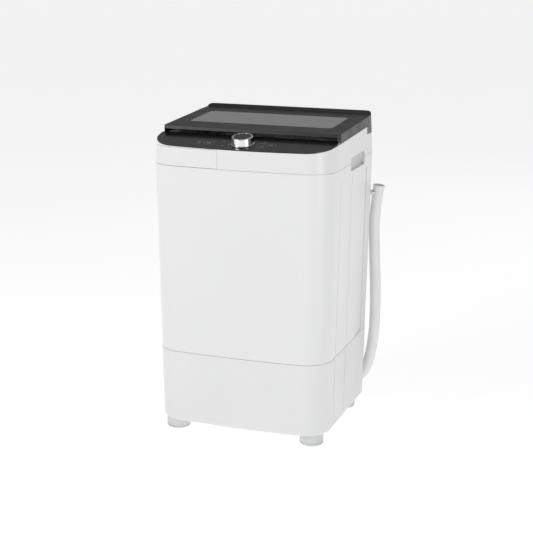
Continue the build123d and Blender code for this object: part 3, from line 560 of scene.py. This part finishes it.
def basket_floor(centre, outer, z):
    """Pressed floor under the pulsator, dished towards the hub."""
    profile = [(outer - TUCK, 0.0016), (outer - 0.004, 0.0012), (outer - 0.012, 0.0006),
               (0.120, 0.0004), (0.080, 0.0010), (0.040, 0.0012), (0.0165, 0.0012)]
    vertices = []
    for radius, height in profile:
        vertices += circle(centre, radius, HOLE_COLUMNS, z + height)
    faces = ring_faces(len(profile), HOLE_COLUMNS)
    floor = piece("basket_floor", vertices, faces, BASKET_STEEL, "spin_basket", True)
    floor.modifiers.new("sheet", "SOLIDIFY").thickness = SHEET_T


def circle(centre, radius, count, z):
    """Row of points round the vertical axis through the centre."""
    return [polar(centre, radius, 2 * math.pi * k / count, z) for k in range(count)]


def ring_faces(rings, count):
    """Four-cornered faces between neighbouring rows of points."""
    faces = []
    for ring in range(rings - 1):
        for k in range(count):
            after = (k + 1) % count
            a, b = ring * count, (ring + 1) * count
            faces.append([a + k, b + k, b + after, a + after])
    return faces


BASKET_CENTRE, BASKET_OUTER, BASKET_LOW = make_basket()
basket_floor(BASKET_CENTRE, BASKET_OUTER, BASKET_LOW)

# ---------------------------------------------------------------- pulsator
VANES = 6
VANE_LEAN = 0.5
VANE_SHARE = 0.84
PLATE_RISE = 0.006
PULSATOR_HUB_R = 0.050
PULSATOR_BORE_R = 0.0118
PULSATOR_SPOKES, PULSATOR_RINGS = 144, 34


def pulsator_top(radius, angle, rim, base, top):
    """Height of the pulsator's upper face: a dished plate, six leaning vanes and a domed hub."""
    share = radius / rim
    plate = base + PLATE_RISE + 0.004 * share ** 4 + 0.0016 * math.cos(VANES * angle) * share
    lean = angle + VANE_LEAN * share
    wave = abs((lean * VANES / (2 * math.pi)) % 1.0 - 0.5) * 2
    sharp = max(0.0, 1 - (1 - wave) * (2.6 + 4.0 * share))
    reach = max(0.0, min(1.0, (0.99 - share) / 0.25))
    vane = (top - plate) * VANE_SHARE * smooth(sharp) * smooth(reach)
    hub = (top - plate) * max(0.0, 1 - (radius / PULSATOR_HUB_R) ** 2) ** 0.6
    return plate + max(vane, hub)


def make_pulsator():
    low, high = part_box("pulsator")
    centre = (low + high) / 2
    rim = (high.x - low.x) / 2 - 0.0004
    count, rings = PULSATOR_SPOKES, PULSATOR_RINGS
    inner = PULSATOR_BORE_R
    vertices = []
    radii = [inner + (rim - inner) * k / (rings - 1) for k in range(rings)]
    for radius in radii:
        for k in range(count):
            angle = 2 * math.pi * k / count
            z = min(high.z - 0.0002, pulsator_top(radius, angle, rim, low.z + 0.004, high.z))
            vertices.append(polar(centre, radius, angle, z))
    faces = ring_faces(rings, count)
    skirt = len(vertices)
    for radius in (rim, inner):
        vertices += circle(centre, radius, count, low.z + 0.0045)
    top_rim = (rings - 1) * count
    for k in range(count):
        after = (k + 1) % count
        faces.append([top_rim + k, skirt + k, skirt + after, top_rim + after])
        faces.append([skirt + k, skirt + count + k, skirt + count + after, skirt + after])
        faces.append([skirt + count + k, k, after, skirt + count + after])
    made = piece("pulsator_disc", vertices, faces, PULSATOR, "agitator", True)
    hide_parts("pulsator")


make_pulsator()


NET_COLUMNS, NET_ROWS = 18, 38
NET_THREAD = 0.0005


def lint_net():
    """Fine net stretched over the filter's window."""
    low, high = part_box("lint_filter")
    vertices, faces = [], []
    y = low.y + 0.0035
    x0, x1 = low.x + 0.0065, high.x - 0.0065
    z0, z1 = low.z + 0.0145, high.z - 0.0145

    def strand(ax, az, bx, bz, wide, tall):
        first = len(vertices)
        for x, z in ((ax, az), (bx, bz)):
            for dy in (-NET_THREAD / 2, NET_THREAD / 2):
                vertices.append(Vector((x - wide / 2, y + dy, z - tall / 2)))
                vertices.append(Vector((x + wide / 2, y + dy, z + tall / 2)))
        for quad in ((0, 1, 5, 4), (2, 6, 7, 3), (0, 4, 6, 2), (1, 3, 7, 5), (0, 2, 3, 1), (4, 5, 7, 6)):
            faces.append([first + q for q in quad])

    for k in range(1, NET_COLUMNS):
        x = x0 + (x1 - x0) * k / NET_COLUMNS
        strand(x, z0, x, z1, NET_THREAD, 0.0)
    for k in range(1, NET_ROWS):
        z = z0 + (z1 - z0) * k / NET_ROWS
        strand(x0, z, x1, z, 0.0, NET_THREAD)
    piece("lint_net", vertices, faces, CLIP_WHITE, "spin_basket")


lint_net()

# ---------------------------------------------------------------- screws on the rear cover
SCREW_REACH = 0.03
SCREW_SIDES = 32


def near(x, z, group):
    return abs(x - group[0]) < SCREW_REACH and abs(z - group[1]) < SCREW_REACH


def make_screws():
    """Pan heads with a cross recess, one at each CAD screw."""
    node = frame["nodes"]["rear_cover_screws"]
    seeds = sorted({(round(v.co.x, 2), round(v.co.z, 2)) for v in node.data.vertices})
    groups = []
    for x, z in seeds:
        if not any(near(x, z, group) for group in groups):
            groups.append((x, z))
    mesh = bmesh.new()
    for group in groups:
        points = [v.co for v in node.data.vertices if near(v.co.x, v.co.z, group)]
        low = Vector([min(p[i] for p in points) for i in range(3)])
        high = Vector([max(p[i] for p in points) for i in range(3)])
        add_screw(mesh, (low + high) / 2, low.y, high.y, (high.x - low.x) / 2)
    data = bpy.data.meshes.new("rear_screws")
    mesh.to_mesh(data)
    mesh.free()
    data.materials.append(ZINC)
    made = bpy.data.objects.new("rear_screws", data)
    bpy.context.scene.collection.objects.link(made)
    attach(made, "cabinet")
    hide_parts("rear_cover_screws")


def add_screw(mesh, centre, y_low, y_high, radius):
    """Head as rings of points; the outermost face is sunk to a four-armed recess."""
    turns = [2 * math.pi * k / SCREW_SIDES for k in range(SCREW_SIDES)]
    head = y_high - 0.0021
    levels = [(radius * 0.46, y_low), (radius * 0.46, head), (radius, head), (radius, head + 0.0006),
              (radius * 0.9, y_high - 0.0005), (radius * 0.7, y_high)]
    rows = []
    for r, y in levels:
        row = [(centre.x + r * math.cos(t), y, centre.z + r * math.sin(t)) for t in turns]
        rows.append([mesh.verts.new(point) for point in row])
    cross = []
    for t in turns:
        arm = max(abs(math.cos(t)), abs(math.sin(t))) > 0.975
        r = radius * (0.58 if arm else 0.2)
        cross.append((centre.x + r * math.cos(t), centre.z + r * math.sin(t)))
    rows.append([mesh.verts.new((x, y_high - 0.00005, z)) for x, z in cross])
    rows.append([mesh.verts.new((x, y_high - 0.0013, z)) for x, z in cross])
    for a, b in zip(rows, rows[1:]):
        for k in range(SCREW_SIDES):
            after = (k + 1) % SCREW_SIDES
            mesh.faces.new((a[k], a[after], b[after], b[k]))
    mesh.faces.new(list(reversed(rows[0])))
    mesh.faces.new(rows[-1])


make_screws()

# ---------------------------------------------------------------- floor and light

FLOOR_HALF = 150.0
FLOOR_GLOW = 0.74
WORLD_LIGHT = 0.27
WORLD_SEEN = 0.88
LIGHTS = [
    # name, place, aim, width, height, watts
    ("key", (-1.9, -2.4, 1.9), (0, -0.1, 0.45), 1.6, 1.6, 40),
    ("side", (2.3, -1.75, 0.9), (0.2, -0.1, 0.45), 0.7, 1.9, 12),
    ("strip", (0.95, -0.50, 0.50), (0.22, -0.20, 0.50), 0.14, 1.0, 0.7),
    ("top", (0.2, 0.3, 3.4), (0, 0, 0.6), 2.6, 2.6, 10),
    ("back", (1.6, 3.4, 2.2), (0, 0.1, 0.6), 2.0, 1.2, 12),
]


def make_stage():
    made = Finish("floor_paper", (0.50, 0.50, 0.50), 0.7)
    made.mottle(0.6, 0.01).smudge(1.5, 0.05).grain(60.0, 0.05, 0.0005)
    made.set(Emission_Color=(1, 1, 1, 1), Emission_Strength=FLOOR_GLOW)
    signs = ((-1, -1), (1, -1), (1, 1), (-1, 1))
    corners = [(a * FLOOR_HALF, b * FLOOR_HALF, 0) for a, b in signs]
    mesh = bpy.data.meshes.new("floor")
    mesh.from_pydata(corners, [], [(0, 1, 2, 3)])
    mesh.materials.append(made.material)
    floor = bpy.data.objects.new("floor", mesh)
    bpy.context.scene.collection.objects.link(floor)
    world = bpy.data.worlds.new("studio")
    world.use_nodes = True
    tree = world.node_tree
    glow = tree.nodes["Background"]
    glow.inputs["Color"].default_value = (1, 1, 1, 1)
    seen = tree.nodes.new("ShaderNodeLightPath").outputs["Is Camera Ray"]
    level = tree.nodes.new("ShaderNodeMapRange")
    level.inputs["To Min"].default_value = WORLD_LIGHT
    level.inputs["To Max"].default_value = WORLD_SEEN
    tree.links.new(seen, level.inputs["Value"])
    tree.links.new(level.outputs["Result"], glow.inputs["Strength"])
    bpy.context.scene.world = world
    bpy.context.scene.view_settings.view_transform = "Standard"


def softbox(name, at, aim, width, height, power):
    data = bpy.data.lights.new(name, "AREA")
    data.shape = "RECTANGLE"
    data.size, data.size_y = width, height
    data.energy = power
    lamp = bpy.data.objects.new(name, data)
    lamp.location = at
    lamp.visible_camera = False
    lamp.rotation_mode = "QUATERNION"
    lamp.rotation_quaternion = (Vector(aim) - Vector(at)).to_track_quat("-Z", "Y")
    bpy.context.scene.collection.objects.link(lamp)


make_stage()
for light in LIGHTS:
    softbox(*light)
